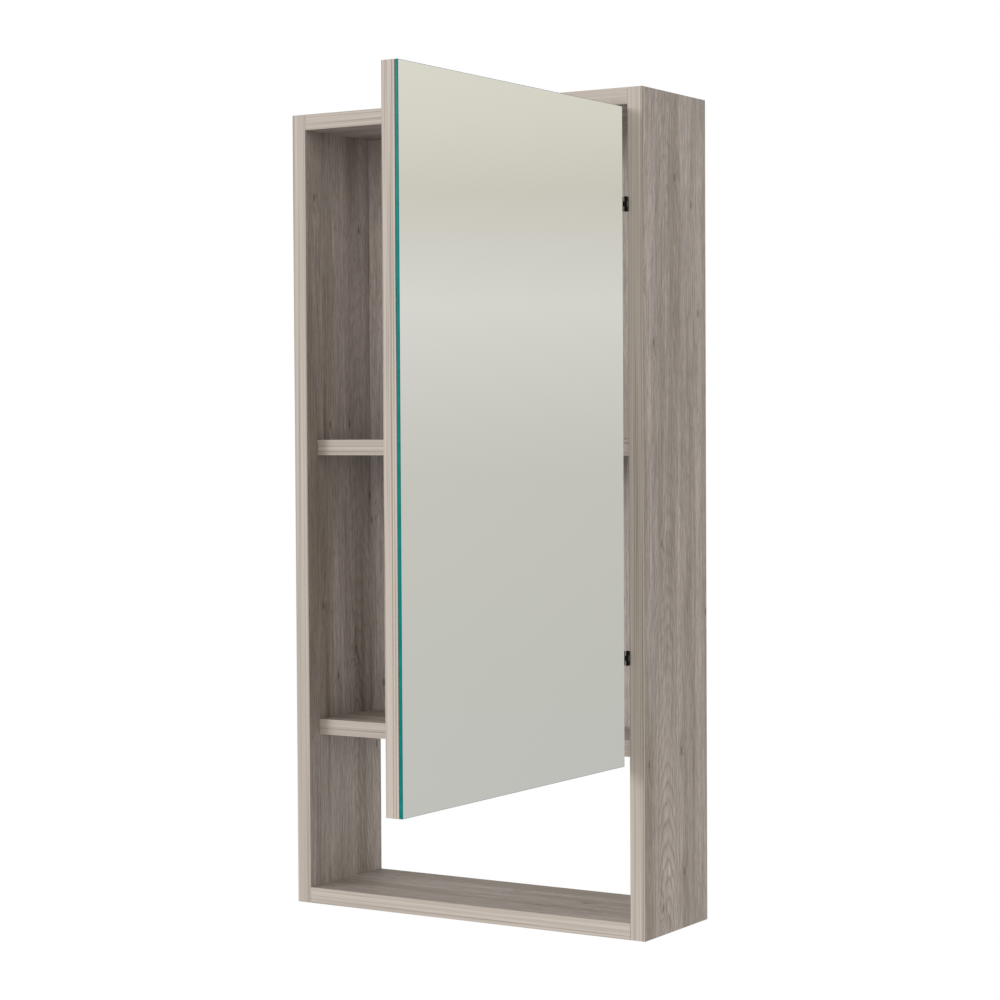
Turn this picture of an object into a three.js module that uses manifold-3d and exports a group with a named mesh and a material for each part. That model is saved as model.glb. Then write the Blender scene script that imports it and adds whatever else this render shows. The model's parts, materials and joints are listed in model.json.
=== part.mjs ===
// Wall-hung medicine cabinet: a narrow case of 15 mm boards with an open niche at the bottom and an
// inset mirror door above it, standing open at nearly a right angle on two small barrel hinges.
// Millimetres, +Z up, +X to the right, +Y towards the wall.
// The origin is the centre of the back panel's rear face, on the wall.
import * as THREE from 'three';
import { mergeVertices } from 'three/addons/utils/BufferGeometryUtils.js';
import Module from 'manifold-3d';

const wasm = await Module();
wasm.setup();

// Driving dimensions. The shapes below are laid out from the cabinet's front bottom centre:
// y = 0 is the front of the case and z = 0 its underside.
const WIDTH = 383;
const DEPTH = 121;
const HEIGHT = 760;
const BOARD = 15;
const BAND = 1;                        // edge band on the front of each board
const GLUE = 0.05;                     // line of glue between two pieces that touch
const NICHE_TOP = 162;                 // underside of the lower shelf
const MIDDLE_SHELF_Z = 433;            // underside of the middle shelf
const SHELF_SETBACK = 16.3;            // shelf fronts behind the case front
const HOLE_SIDES = 16;

const INNER = WIDTH / 2 - BOARD;       // half of the inside width
const LOWER_SHELF_TOP = NICHE_TOP + BOARD;
const MIDDLE_SHELF_TOP = MIDDLE_SHELF_Z + BOARD;
const BACK_FRONT = DEPTH - BOARD;      // front face of the back panel
const BACK_TOP = HEIGHT - BOARD;
const BACK_CENTRE_Z = (LOWER_SHELF_TOP + BACK_TOP) / 2;

const DOWEL_RADIUS = 4;
const DOWEL_LENGTH = 30;
const DOWEL_CHAMFER = 1;
const DOWEL_IN_FACE = 10;              // depth of the dowel hole in the face of a side panel
const DOWEL_CLEARANCE = 0.05;
const DOWEL_ROWS = [32, 92];           // distance of the dowels behind the case front
const BACK_DOWEL_HEIGHTS = [LOWER_SHELF_TOP + 90, BACK_TOP - 90];

const DOOR_GAP = 1.3;                  // gap between the door and each side panel
const DOOR_BOTTOM = 156;               // the door hangs past the lower shelf as a finger pull
const DOOR_TOP = BACK_TOP - 2;
const DOOR_THICKNESS = 15.8;
const MIRROR_THICKNESS = 3.2;
const MIRROR_ARRIS = 0.4;
const TAPE_THICKNESS = 0.2;
const TAPE_MARGIN = 2;
const DOOR_HALF = INNER - DOOR_GAP;
const DOOR_OPEN = THREE.MathUtils.degToRad(89.65);

// The hinge pins stand just in front of the case, at the edge of the right side panel.
const PIN_X = INNER - 0.6;
const PIN_Y = -2.6;
const HINGE_HEIGHTS = { lower: 253, upper: 656.5 };
const LEAF_LENGTH = 31;
const LEAF = 0.7;
const KNUCKLE_RADIUS = 1.45;
const KNUCKLE_HEIGHT = 12.8;
const KNUCKLE_MIDDLE = 4.6;            // height of the door leaf's knuckle
const KNUCKLE_CLEARANCE = 0.1;
const LEAF_START = 2.3;                // from the pin to where the leaf has its full height
const PIN_RADIUS = 0.7;
const PIN_BORE = 0.77;
const PIN_HEAD = 0.4;
const LEAF_SCREW_STEPS = [12, 24];     // screws along each leaf, from its bend or its front

const CATCH_X = -60;
const CATCH_Z = MIDDLE_SHELF_Z + BOARD / 2;

const HANGER_X = 130;
const HANGER_Z = 690;
const HANGER_RADIUS = 10;
const HANGER_REACH = 20;               // from the middle of the plate to each screw
const HANGER_THICKNESS = 1.6;
const KEYHOLE_RADIUS = 5;
const KEYHOLE_SLOT = 2.6;
const KEYHOLE_LOW = -5;
const KEYHOLE_HIGH = 7;
const POCKET_DEPTH = 8;

// ---- materials -------------------------------------------------------------------------------
const paint = (color, roughness, metalness = 0) =>
  new THREE.MeshStandardMaterial({ color, roughness, metalness });
const MATERIALS = {
  laminate: () => paint(0x968e87, 0.6),
  band: () => paint(0xc5bdb2, 0.55),
  beech: () => paint(0xcfae7f, 0.75),
  mirror: () => paint(0xdfe6e3, 0.05, 0.9),
  tape: () => paint(0xe9e9e6, 0.8),
  blackSteel: () => paint(0x1c1a18, 0.4, 0.7),
  zinc: () => paint(0xb9bcbe, 0.35, 0.9),
  whitePlastic: () => paint(0xe6e5e1, 0.5),
  magnet: () => paint(0x55585c, 0.4, 0.8),
};

// ---- solids ----------------------------------------------------------------------------------
function toSolid(geometry) {
  const bare = geometry.clone();
  bare.deleteAttribute('normal');
  bare.deleteAttribute('uv');
  const merged = mergeVertices(bare, 1e-4);
  return new wasm.Manifold(new wasm.Mesh({
    numProp: 3,
    vertProperties: new Float32Array(merged.attributes.position.array),
    triVerts: new Uint32Array(merged.index.array),
  }));
}

function toGeometry(solid) {
  const mesh = solid.getMesh();
  const geometry = new THREE.BufferGeometry();
  geometry.setAttribute('position', new THREE.BufferAttribute(mesh.vertProperties, mesh.numProp));
  geometry.setIndex(new THREE.BufferAttribute(mesh.triVerts, 1));
  return geometry;
}

const join = (...shapes) => toGeometry(shapes.map(toSolid).reduce((a, b) => a.add(b)));
const cut = (shape, tools) => toGeometry(tools.map(toSolid).reduce((a, b) => a.subtract(b), toSolid(shape)));

function block(x0, x1, y0, y1, z0, z1) {
  const geometry = new THREE.BoxGeometry(x1 - x0, y1 - y0, z1 - z0);
  return geometry.translate((x0 + x1) / 2, (y0 + y1) / 2, (z0 + z1) / 2);
}

// Turns a shape made along +Y so that it runs along the given direction, then moves it.
function along(geometry, direction, at) {
  const turn = new THREE.Quaternion().setFromUnitVectors(
    new THREE.Vector3(0, 1, 0), new THREE.Vector3(...direction));
  return geometry.applyQuaternion(turn).translate(...at);
}

// A solid of revolution about +Y, from [radius, height] pairs that start and end on the axis.
const turned = (profile, sides = HOLE_SIDES) =>
  new THREE.LatheGeometry(profile.map(([r, h]) => new THREE.Vector2(r, h)), sides);

// A hole tool that starts a little outside the face at `at` and goes `depth` along `direction`.
function hole(radius, depth, direction, at, sides = HOLE_SIDES) {
  const lead = 1;
  return along(turned([[0, -lead], [radius, -lead], [radius, depth], [0, depth]], sides), direction, at);
}

// A flat plate with two round ends, its long way along Z, its back at y = 0 and its front at -thickness.
function stadium(radius, low, high, thickness) {
  const outline = new THREE.Shape();
  outline.absarc(0, high, radius, 0, Math.PI);
  outline.absarc(0, low, radius, Math.PI, 2 * Math.PI);
  const plate = new THREE.ExtrudeGeometry(outline, {
    depth: thickness, bevelEnabled: false, curveSegments: 8,
  });
  return plate.rotateX(Math.PI / 2);
}

// ---- countersunk screws ----------------------------------------------------------------------
const SCREW = { head: 2.4, shank: 1.25, length: 10, cone: 1.15, rim: 0.2, tip: 2.5 };
const SCREW_SIDES = 12;

// The head's flat top is at y = 0 and the screw runs along +Y.
function screwOutline(grow) {
  const { head, shank, length, cone, rim, tip } = SCREW;
  return [
    [0, 0], [head + grow, 0], [head + grow, rim], [shank + grow, rim + cone],
    [shank + grow, length - tip], [0.3 + grow, length + grow], [0, length + grow],
  ];
}

function screwShape() {
  const arm = 1.3;
  const half = 0.35;
  const deep = 0.9;
  return cut(turned(screwOutline(0), SCREW_SIDES), [
    block(-arm, arm, -1, deep, -half, half),
    block(-half, half, -1, deep, -arm, arm),
  ]);
}

// The pocket that a screw needs in whatever it holds, open above the head.
function screwPocket(direction, at) {
  const grow = 0.08;
  const outline = screwOutline(grow).slice(1);
  const pocket = turned([[0, -1], [SCREW.head + grow, -1], ...outline], SCREW_SIDES);
  return along(pocket, direction, at);
}

// ---- scene graph -----------------------------------------------------------------------------
const root = new THREE.Group();
const cabinet = new THREE.Group();
cabinet.position.set(0, -DEPTH, -BACK_CENTRE_Z);
root.add(cabinet);

// The door group turns about the hinge pins; its own origin is on their axis.
const door = new THREE.Group();
door.position.set(PIN_X, PIN_Y, 0);
door.rotation.z = DOOR_OPEN;
cabinet.add(door);

// Adds a piece whose geometry is laid out in its group's frame, with the mesh placed at `at`.
function piece(group, name, geometry, material, at) {
  const mesh = new THREE.Mesh(geometry.translate(-at[0], -at[1], -at[2]), MATERIALS[material]());
  mesh.name = name;
  mesh.position.set(...at);
  group.add(mesh);
}

function screw(group, name, material, direction, at) {
  piece(group, name, along(screwShape(), direction, at), material, at);
}

// ---- dowels ----------------------------------------------------------------------------------
// Each dowel joins the end of a board to the face of a side panel. `side` is -1 left or +1 right.
const dowelPlaces = [];

function addDowels(board, rows, heights) {
  for (const side of [-1, 1]) {
    rows.forEach((y) => heights.forEach((z) => dowelPlaces.push({ board, side, y, z })));
  }
}

function dowelHole({ side, y, z }, inFace) {
  const depth = inFace ? DOWEL_IN_FACE : DOWEL_LENGTH - DOWEL_IN_FACE + 2 * GLUE;
  const direction = [inFace ? side : -side, 0, 0];
  return hole(DOWEL_RADIUS + DOWEL_CLEARANCE, depth, direction, [side * INNER, y, z]);
}

function dowelShape() {
  const r = DOWEL_RADIUS;
  const c = DOWEL_CHAMFER;
  const end = DOWEL_LENGTH - GLUE;
  return turned([[0, 0], [r - c, 0], [r, c], [r, end - c], [r - c, end], [0, end]]);
}

const endHoles = (board) => dowelPlaces.filter((d) => d.board === board).map((d) => dowelHole(d, false));

addDowels('top', DOWEL_ROWS, [HEIGHT - BOARD / 2]);
addDowels('bottom', DOWEL_ROWS, [BOARD / 2]);
addDowels('lower_shelf', DOWEL_ROWS, [NICHE_TOP + BOARD / 2]);
addDowels('middle_shelf', DOWEL_ROWS, [MIDDLE_SHELF_Z + BOARD / 2]);
addDowels('back', [DEPTH - BOARD / 2], BACK_DOWEL_HEIGHTS);

function buildDowels() {
  const count = {};
  for (const { board, side, y, z } of dowelPlaces) {
    const hand = side < 0 ? 'left' : 'right';
    const key = `dowel_${board}_${hand}`;
    count[key] = (count[key] ?? 0) + 1;
    const foot = [side * (INNER + DOWEL_IN_FACE - GLUE), y, z];
    piece(cabinet, `${key}_${count[key]}`, along(dowelShape(), [-side, 0, 0], foot), 'beech', foot);
  }
}

// ---- case boards -----------------------------------------------------------------------------
// A strip of edge band with its two front arrises rounded, along Z, its front face at y = 0.
function bandStrip(thick, length) {
  const r = 0.4;
  const half = thick / 2;
  const outline = new THREE.Shape();
  outline.moveTo(-half, BAND);
  outline.lineTo(-half, r);
  outline.absarc(-half + r, r, r, Math.PI, 1.5 * Math.PI);
  outline.absarc(half - r, r, r, 1.5 * Math.PI, 2 * Math.PI);
  outline.lineTo(half, BAND);
  outline.closePath();
  return new THREE.ExtrudeGeometry(outline, { depth: length, bevelEnabled: false, curveSegments: 2 });
}

function uprightBand(name, x, tools) {
  const strip = bandStrip(BOARD, HEIGHT).translate(x, 0, 0);
  piece(cabinet, name, tools.length ? cut(strip, tools) : strip, 'band', [x, 0, HEIGHT / 2]);
}

function levelBand(name, front, z, tools) {
  const length = 2 * (INNER - GLUE);
  const strip = bandStrip(BOARD, length).rotateY(Math.PI / 2).translate(-length / 2, front, z);
  piece(cabinet, name, tools.length ? cut(strip, tools) : strip, 'band', [0, front, z]);
}

// A board that lies between the side panels, with its front edge band and its dowel holes.
function levelBoard(name, board, front, back, bottom, tools = [], bandTools = []) {
  const reach = INNER - GLUE;
  const shape = block(-reach, reach, front + BAND + GLUE, back, bottom, bottom + BOARD);
  const centre = [0, (front + back) / 2, bottom + BOARD / 2];
  piece(cabinet, name, cut(shape, [...endHoles(board), ...tools]), 'laminate', centre);
  levelBand(`${name}_edge_band`, front, bottom + BOARD / 2, bandTools);
}

function leafMortises() {
  const half = KNUCKLE_HEIGHT / 2 + 0.1;
  const deep = LEAF + 0.1;
  return Object.values(HINGE_HEIGHTS).map((z) =>
    block(INNER - 1, INNER + deep, -1, LEAF_LENGTH + 0.1, z - half, z + half));
}

function sidePanel(name, side, tools, bandTools) {
  const inner = side * INNER;
  const outer = side * (WIDTH / 2);
  const shape = block(Math.min(inner, outer), Math.max(inner, outer), BAND + GLUE, DEPTH, 0, HEIGHT);
  const holes = dowelPlaces.filter((d) => d.side === side).map((d) => dowelHole(d, true));
  const centre = [(inner + outer) / 2, DEPTH / 2, HEIGHT / 2];
  piece(cabinet, name, cut(shape, [...holes, ...tools]), 'laminate', centre);
  uprightBand(`${name}_edge_band`, centre[0], bandTools);
}

function buildCase() {
  const hingePockets = Object.values(HINGE_HEIGHTS).flatMap((z) =>
    LEAF_SCREW_STEPS.map((step) => screwPocket([1, 0, 0], [INNER, step, z])));
  sidePanel('side_panel_left', -1, [], []);
  sidePanel('side_panel_right', 1, [...leafMortises(), ...hingePockets], leafMortises());
  levelBoard('top_panel', 'top', 0, DEPTH, BACK_TOP);
  levelBoard('bottom_panel', 'bottom', 0, DEPTH, 0);
  levelBoard('lower_shelf', 'lower_shelf', SHELF_SETBACK, DEPTH, NICHE_TOP);
  levelBoard('middle_shelf', 'middle_shelf', SHELF_SETBACK, BACK_FRONT - GLUE, MIDDLE_SHELF_Z,
    [catchBore()], [catchMouth()]);
  buildBackPanel();
}

// ---- back panel and hanging plates -----------------------------------------------------------
const hangerPlaces = [['left', -HANGER_X], ['right', HANGER_X]];
const hangerScrews = (x) => [-HANGER_REACH, HANGER_REACH].map((dz) => [x, DEPTH, HANGER_Z + dz]);

function keyhole(grow, depth) {
  const round = hole(KEYHOLE_RADIUS + grow, depth, [0, -1, 0], [0, 0, KEYHOLE_LOW]);
  const slot = stadium(KEYHOLE_SLOT + grow, KEYHOLE_LOW, KEYHOLE_HIGH, depth + 1).translate(0, 1, 0);
  return join(round, slot);
}

function buildBackPanel() {
  const reach = INNER - GLUE;
  const sink = HANGER_THICKNESS + 0.1;
  const tools = hangerPlaces.flatMap(([, x]) => [
    stadium(HANGER_RADIUS + 0.15, -HANGER_REACH, HANGER_REACH, sink + 1).translate(x, DEPTH + 1, HANGER_Z),
    stadium(KEYHOLE_RADIUS + 1.5, KEYHOLE_LOW, KEYHOLE_HIGH, POCKET_DEPTH + 1)
      .translate(x, DEPTH + 1, HANGER_Z),
    ...hangerScrews(x).map((at) => screwPocket([0, -1, 0], at)),
  ]);
  const shape = block(-reach, reach, BACK_FRONT, DEPTH, LOWER_SHELF_TOP + GLUE, BACK_TOP - GLUE);
  const centre = [0, DEPTH - BOARD / 2, BACK_CENTRE_Z];
  piece(cabinet, 'back_panel', cut(shape, [...endHoles('back'), ...tools]), 'laminate', centre);
}

// A keyhole plate let into the rear of the back panel, which drops over a screw in the wall.
function buildHangers() {
  for (const [hand, x] of hangerPlaces) {
    const plate = stadium(HANGER_RADIUS, -HANGER_REACH, HANGER_REACH, HANGER_THICKNESS);
    const tools = [
      keyhole(0, HANGER_THICKNESS + 1),
      ...hangerScrews(0).map((at) => screwPocket([0, -1, 0], [0, 0, at[2] - HANGER_Z])),
    ];
    const shape = cut(plate, tools).translate(x, DEPTH, HANGER_Z);
    piece(cabinet, `hanger_plate_${hand}`, shape, 'zinc', [x, DEPTH, HANGER_Z]);
    hangerScrews(x).forEach((at, i) =>
      screw(cabinet, `hanger_screw_${hand}_${i ? 'upper' : 'lower'}`, 'zinc', [0, -1, 0], at));
  }
}

// ---- magnetic catch --------------------------------------------------------------------------
const CATCH = { flange: 6, barrel: 5, bore: 4, lip: 1, reach: 14.8, proud: 0.1 };
const STRIKE = { radius: 6.5, thickness: 1.2 };

const catchMouth = () =>
  hole(CATCH.flange + 0.1, BAND + 2 * GLUE, [0, 1, 0], [CATCH_X, SHELF_SETBACK, CATCH_Z]);
const catchBore = () =>
  hole(CATCH.barrel + 0.05, CATCH.reach + 0.2, [0, 1, 0], [CATCH_X, SHELF_SETBACK, CATCH_Z]);

function buildCatch() {
  const { flange, barrel, bore, lip, reach, proud } = CATCH;
  const at = [CATCH_X, SHELF_SETBACK - proud, CATCH_Z];
  const floor = reach - 2;
  const sleeve = turned([
    [0, floor], [bore, floor], [bore, 0], [flange, 0], [flange, lip], [barrel, lip],
    [barrel, reach], [0, reach],
  ]);
  piece(cabinet, 'catch_sleeve', along(sleeve, [0, 1, 0], at), 'whitePlastic', at);
  const r = bore - 0.05;
  const magnet = turned([[0, 0.1], [r - 0.4, 0.1], [r, 0.5], [r, floor - 0.1], [0, floor - 0.1]]);
  piece(cabinet, 'catch_magnet', along(magnet, [0, 1, 0], at), 'magnet', at);
}

// ---- door ------------------------------------------------------------------------------------
// Places a closed-door point of the cabinet in the door group.
const onDoor = (x, y, z) => [x - PIN_X, y - PIN_Y, z];

function doorBlock(x0, x1, y0, y1, z0, z1) {
  return block(x0 - PIN_X, x1 - PIN_X, y0 - PIN_Y, y1 - PIN_Y, z0, z1);
}

function mirrorShape(centre) {
  const a = MIRROR_ARRIS;
  const w = DOOR_HALF - a;
  const h = (DOOR_TOP - DOOR_BOTTOM) / 2 - a;
  const outline = new THREE.Shape([
    new THREE.Vector2(-w, -h), new THREE.Vector2(w, -h), new THREE.Vector2(w, h), new THREE.Vector2(-w, h),
  ]);
  const glass = new THREE.ExtrudeGeometry(outline, {
    depth: MIRROR_THICKNESS - 2 * a, bevelThickness: a, bevelSize: a, bevelSegments: 1,
  });
  return glass.translate(0, 0, a).rotateX(Math.PI / 2).translate(centre[0], centre[1], centre[2]);
}

function buildDoor() {
  const middle = (DOOR_BOTTOM + DOOR_TOP) / 2;
  const rear = onDoor(0, MIRROR_THICKNESS, middle);
  piece(door, 'door_mirror', mirrorShape(rear), 'mirror', rear);

  const tapeFront = MIRROR_THICKNESS + GLUE;
  const m = TAPE_MARGIN;
  const tape = doorBlock(-DOOR_HALF + m, DOOR_HALF - m, tapeFront, tapeFront + TAPE_THICKNESS,
    DOOR_BOTTOM + m, DOOR_TOP - m);
  piece(door, 'mirror_mounting_film', tape, 'tape', onDoor(0, tapeFront, middle));

  const boardFront = tapeFront + TAPE_THICKNESS + GLUE;
  const board = doorBlock(-DOOR_HALF, DOOR_HALF, boardFront, DOOR_THICKNESS, DOOR_BOTTOM, DOOR_TOP);
  const strikeAt = onDoor(CATCH_X, DOOR_THICKNESS, CATCH_Z);
  const tools = [
    hole(STRIKE.radius + 0.1, STRIKE.thickness + 0.1, [0, -1, 0], strikeAt),
    screwPocket([0, -1, 0], strikeAt),
    ...Object.values(HINGE_HEIGHTS).flatMap(doorScrewPlaces).map((at) => screwPocket([0, -1, 0], at)),
  ];
  piece(door, 'door_board', cut(board, tools), 'laminate', onDoor(0, boardFront, middle));

  const disc = hole(STRIKE.radius, STRIKE.thickness, [0, -1, 0], [0, 0, 0]);
  const plate = cut(disc, [block(-9, 9, 0, 9, -9, 9), screwPocket([0, -1, 0], [0, 0, 0])]);
  piece(door, 'strike_plate', plate.translate(...strikeAt), 'zinc', strikeAt);
  screw(door, 'strike_screw', 'zinc', [0, -1, 0], strikeAt);
}

// ---- hinges ----------------------------------------------------------------------------------
// Screw heads are flush with the outside of the leaf that lies on the back of the door.
const WRAP_GAP = 0.05;
const leafBack = DOOR_THICKNESS + WRAP_GAP + LEAF;
const doorScrewPlaces = (z) => LEAF_SCREW_STEPS.map((step) => onDoor(DOOR_HALF - step, leafBack, z));

function knuckle(z0, z1) {
  return hole(KNUCKLE_RADIUS, z1 - z0 - 1, [0, 0, 1], [0, 0, z0 + 1], 20);
}

const pinBore = (z) => hole(PIN_BORE, KNUCKLE_HEIGHT, [0, 0, 1], [0, 0, z - KNUCKLE_HEIGHT / 2], 20);

// Leaf let into the right side panel, with a knuckle above and below the door's.
function frameLeaf(name, z) {
  const low = z - KNUCKLE_HEIGHT / 2;
  const high = z + KNUCKLE_HEIGHT / 2;
  const step = KNUCKLE_MIDDLE / 2 + KNUCKLE_CLEARANCE;
  const x0 = INNER - PIN_X;
  const x1 = x0 + LEAF;
  const shape = join(
    knuckle(low, z - step), knuckle(z + step, high),
    block(x0, x1, 0, LEAF_START + 1, low, z - step), block(x0, x1, 0, LEAF_START + 1, z + step, high),
    block(x0, x1, LEAF_START, LEAF_LENGTH - PIN_Y, low, high),
  );
  const pockets = LEAF_SCREW_STEPS.map((y) => screwPocket([1, 0, 0], [x0, y - PIN_Y, z]));
  const leaf = cut(shape, [pinBore(z), ...pockets]).translate(PIN_X, PIN_Y, 0);
  piece(cabinet, name, leaf, 'blackSteel', [PIN_X, PIN_Y, z]);
}

// Leaf that runs back along the edge of the door and wraps round onto its rear face.
function doorLeaf(name, z) {
  const low = z - KNUCKLE_HEIGHT / 2;
  const high = z + KNUCKLE_HEIGHT / 2;
  const middle = KNUCKLE_MIDDLE / 2;
  const x0 = DOOR_HALF + WRAP_GAP - PIN_X;
  const x1 = x0 + LEAF;
  const back = leafBack - PIN_Y;
  const shape = join(
    knuckle(z - middle, z + middle),
    block(x0, x1, 0, LEAF_START + 1, z - middle, z + middle),
    block(x0, x1, LEAF_START, back, low, high),
    block(x0 - LEAF_LENGTH, x1, back - LEAF, back, low, high),
  );
  const pockets = doorScrewPlaces(z).map((at) => screwPocket([0, -1, 0], at));
  piece(door, name, cut(shape, [pinBore(z), ...pockets]), 'blackSteel', [0, 0, z]);
}

function hingePin(name, z) {
  const half = KNUCKLE_HEIGHT / 2 + 0.02;
  const r = PIN_RADIUS;
  const head = KNUCKLE_RADIUS - 0.2;
  const end = half + PIN_HEAD;
  const shape = turned([
    [0, -end], [head - 0.3, -end], [head, -end + 0.2], [head, -half], [r, -half],
    [r, half], [head, half], [head, end - 0.2], [head - 0.3, end], [0, end],
  ], 20);
  piece(cabinet, name, along(shape, [0, 0, 1], [PIN_X, PIN_Y, z]), 'blackSteel', [PIN_X, PIN_Y, z]);
}

function buildHinges() {
  for (const [where, z] of Object.entries(HINGE_HEIGHTS)) {
    frameLeaf(`hinge_${where}_frame_leaf`, z);
    doorLeaf(`hinge_${where}_door_leaf`, z);
    hingePin(`hinge_${where}_pin`, z);
    LEAF_SCREW_STEPS.forEach((y, i) =>
      screw(cabinet, `hinge_${where}_frame_screw_${i + 1}`, 'blackSteel', [1, 0, 0], [INNER, y, z]));
    doorScrewPlaces(z).forEach((at, i) =>
      screw(door, `hinge_${where}_door_screw_${i + 1}`, 'blackSteel', [0, -1, 0], at));
  }
}

buildCase();
buildDowels();
buildHangers();
buildCatch();
buildDoor();
buildHinges();

export default root;
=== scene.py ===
"""Finishes and stage for a slim medicine cabinet with a mirror door.

The case is grey oak laminate board with pale edge band. The door carries a silvered mirror on two
small black barrel hinges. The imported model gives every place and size, and this file adds the looks.
"""
import json
import math

import bmesh
import bpy
from bpy.props import FloatProperty, FloatVectorProperty, PointerProperty, StringProperty
from mathutils import Matrix, Vector

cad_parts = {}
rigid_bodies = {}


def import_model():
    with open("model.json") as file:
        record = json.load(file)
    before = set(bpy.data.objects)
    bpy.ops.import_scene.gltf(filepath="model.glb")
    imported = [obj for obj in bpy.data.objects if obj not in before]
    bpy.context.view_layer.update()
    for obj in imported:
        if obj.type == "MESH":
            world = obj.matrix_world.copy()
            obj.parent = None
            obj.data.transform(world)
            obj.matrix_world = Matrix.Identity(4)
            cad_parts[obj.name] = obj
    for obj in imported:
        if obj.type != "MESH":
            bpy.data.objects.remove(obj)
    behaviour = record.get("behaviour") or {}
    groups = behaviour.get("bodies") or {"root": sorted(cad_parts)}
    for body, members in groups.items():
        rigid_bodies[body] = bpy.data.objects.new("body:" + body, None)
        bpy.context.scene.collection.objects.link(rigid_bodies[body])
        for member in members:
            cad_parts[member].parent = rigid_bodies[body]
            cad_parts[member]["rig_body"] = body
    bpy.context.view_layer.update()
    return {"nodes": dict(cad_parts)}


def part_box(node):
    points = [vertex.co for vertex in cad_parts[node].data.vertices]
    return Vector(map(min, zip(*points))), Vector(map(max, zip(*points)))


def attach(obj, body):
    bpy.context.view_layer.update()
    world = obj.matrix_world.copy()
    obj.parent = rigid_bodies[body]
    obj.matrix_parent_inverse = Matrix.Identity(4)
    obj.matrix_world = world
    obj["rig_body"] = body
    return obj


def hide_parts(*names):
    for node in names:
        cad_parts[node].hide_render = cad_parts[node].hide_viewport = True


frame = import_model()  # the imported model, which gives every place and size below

bl_info = {
    "name": "Medicine Cabinet",
    "version": (1, 0, 0),
    "blender": (4, 5, 0),
    "location": "View3D > Sidebar > Cabinet",
    "description": "Builds the finishes and the stage of a slim medicine cabinet with a mirror door",
    "category": "Add Mesh",
}

MM = 0.001
CASE_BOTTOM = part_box("side_panel_left")[0].z


# ---- nodes and colours ----------------------------------------------------------------------
def linear(code):
    """An sRGB hex colour as linear red, green, blue and alpha."""
    parts = [int(code[i:i + 2], 16) / 255 for i in (1, 3, 5)]
    return [c / 12.92 if c <= 0.04045 else ((c + 0.055) / 1.055) ** 2.4 for c in parts] + [1.0]


def add(tree, kind, inputs=None, stops=None, **settings):
    """Adds one node: its settings, its colour stops, and a value or a link for each input."""
    made = tree.nodes.new(kind)
    for name, value in settings.items():
        setattr(made, name, value)
    if stops:
        elements = made.color_ramp.elements
        while len(elements) < len(stops):
            elements.new(1.0)
        for element, (place, colour) in zip(elements, stops):
            element.position = place
            element.color = linear(colour) if isinstance(colour, str) else [colour] * 3 + [1.0]
    for key, value in (inputs or {}).items():
        if isinstance(value, bpy.types.NodeSocket):
            tree.links.new(value, made.inputs[key])
        else:
            made.inputs[key].default_value = value
    return made


def new_material(name):
    """A material with an empty tree and its shader: returns the material, tree and shader."""
    material = bpy.data.materials.new(name)
    material.use_nodes = True
    tree = material.node_tree
    tree.nodes.clear()
    shader = add(tree, "ShaderNodeBsdfPrincipled")
    add(tree, "ShaderNodeOutputMaterial", {"Surface": shader.outputs["BSDF"]})
    return material, tree, shader


# ---- shapes ---------------------------------------------------------------------------------
SHARP = math.radians(35)  # edges that turn by more than this are broken, and rounder ones are smooth
FLAT = math.radians(0.5)  # faces that turn by less than this become one
SAME = 0.001 * MM  # points closer than this are merged
SCREW_EDGE = 0.1 * MM  # how far the edges of the screws are broken
FILM_EDGE = 0.05 * MM  # how far the cut edges of the foam film are rounded
pieces = {}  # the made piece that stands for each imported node


def soften(node, width, segments=2):
    """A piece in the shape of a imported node, with its sharp edges broken by `width`. It stands for
    the node and moves with the node's body."""
    shape = bmesh.new()
    shape.from_mesh(frame["nodes"][node].data)
    bmesh.ops.remove_doubles(shape, verts=shape.verts, dist=SAME)
    bmesh.ops.dissolve_limit(shape, angle_limit=FLAT, verts=shape.verts, edges=shape.edges)
    for face in shape.faces:
        face.smooth = True
    mesh = bpy.data.meshes.new(f"{node}_piece")
    shape.to_mesh(mesh)
    shape.free()
    mesh.set_sharp_from_angle(angle=SHARP)
    piece = bpy.data.objects.new(f"{node}_piece", mesh)
    bpy.context.collection.objects.link(piece)
    edge = piece.modifiers.new("broken_edges", "BEVEL")
    edge.width = width
    edge.segments = segments
    edge.limit_method = "ANGLE"
    edge.angle_limit = SHARP
    edge.harden_normals = True
    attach(piece, frame["nodes"][node]["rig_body"])
    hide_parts(node)
    pieces[node] = piece


def dress(node, material):
    """Gives the piece that stands for a node its finish."""
    pieces[node].data.materials.clear()
    pieces[node].data.materials.append(material)


def nodes_named(start):
    """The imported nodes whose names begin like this, in order."""
    return sorted(name for name in frame["nodes"] if name.startswith(start))


# ---- finishes -------------------------------------------------------------------------------
# Which of a piece's own axes run across the grain, through the board and along the grain.
UPRIGHT_SIDE, UPRIGHT_BACK, LEVEL = "YXZ", "XYZ", "YZX"

# How far apart the knots lie, across and along the grain, and where each part of a knot begins and
# ends to fade, as shares of that distance.
KNOT_SPACING = (60 * MM, 170 * MM)
KNOT_REACH = {"eye": (0.01, 0.034), "swirl": (0.0, 0.15)}

# The patterns of the decor, each a noise stretched along the grain: width and length in mm, detail,
# roughness. Those below the drift wander sideways, with the wavering grain and round the knots.
PATTERNS = {
    "waver": (9, 55, 2.0, 0.5),
    "drift": (36, 230, 2.0, 0.5),
    "streaks": (26, 640, 2.0, 0.55),
    "clouds": (45, 150, 2.0, 0.5),
    "fibres": (1.6, 75, 4.0, 0.78),
    "flecks": (1.6, 13, 2.0, 0.65),
    "pores": (1.2, 8, 1.0, 0.5),
}
GRAIN_WANDER = {"waver": 2 * MM, "swirl": 5 * MM}
RING_WANDER = {"drift": 7 * MM, "waver": 1 * MM, "swirl": 3 * MM}

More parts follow.
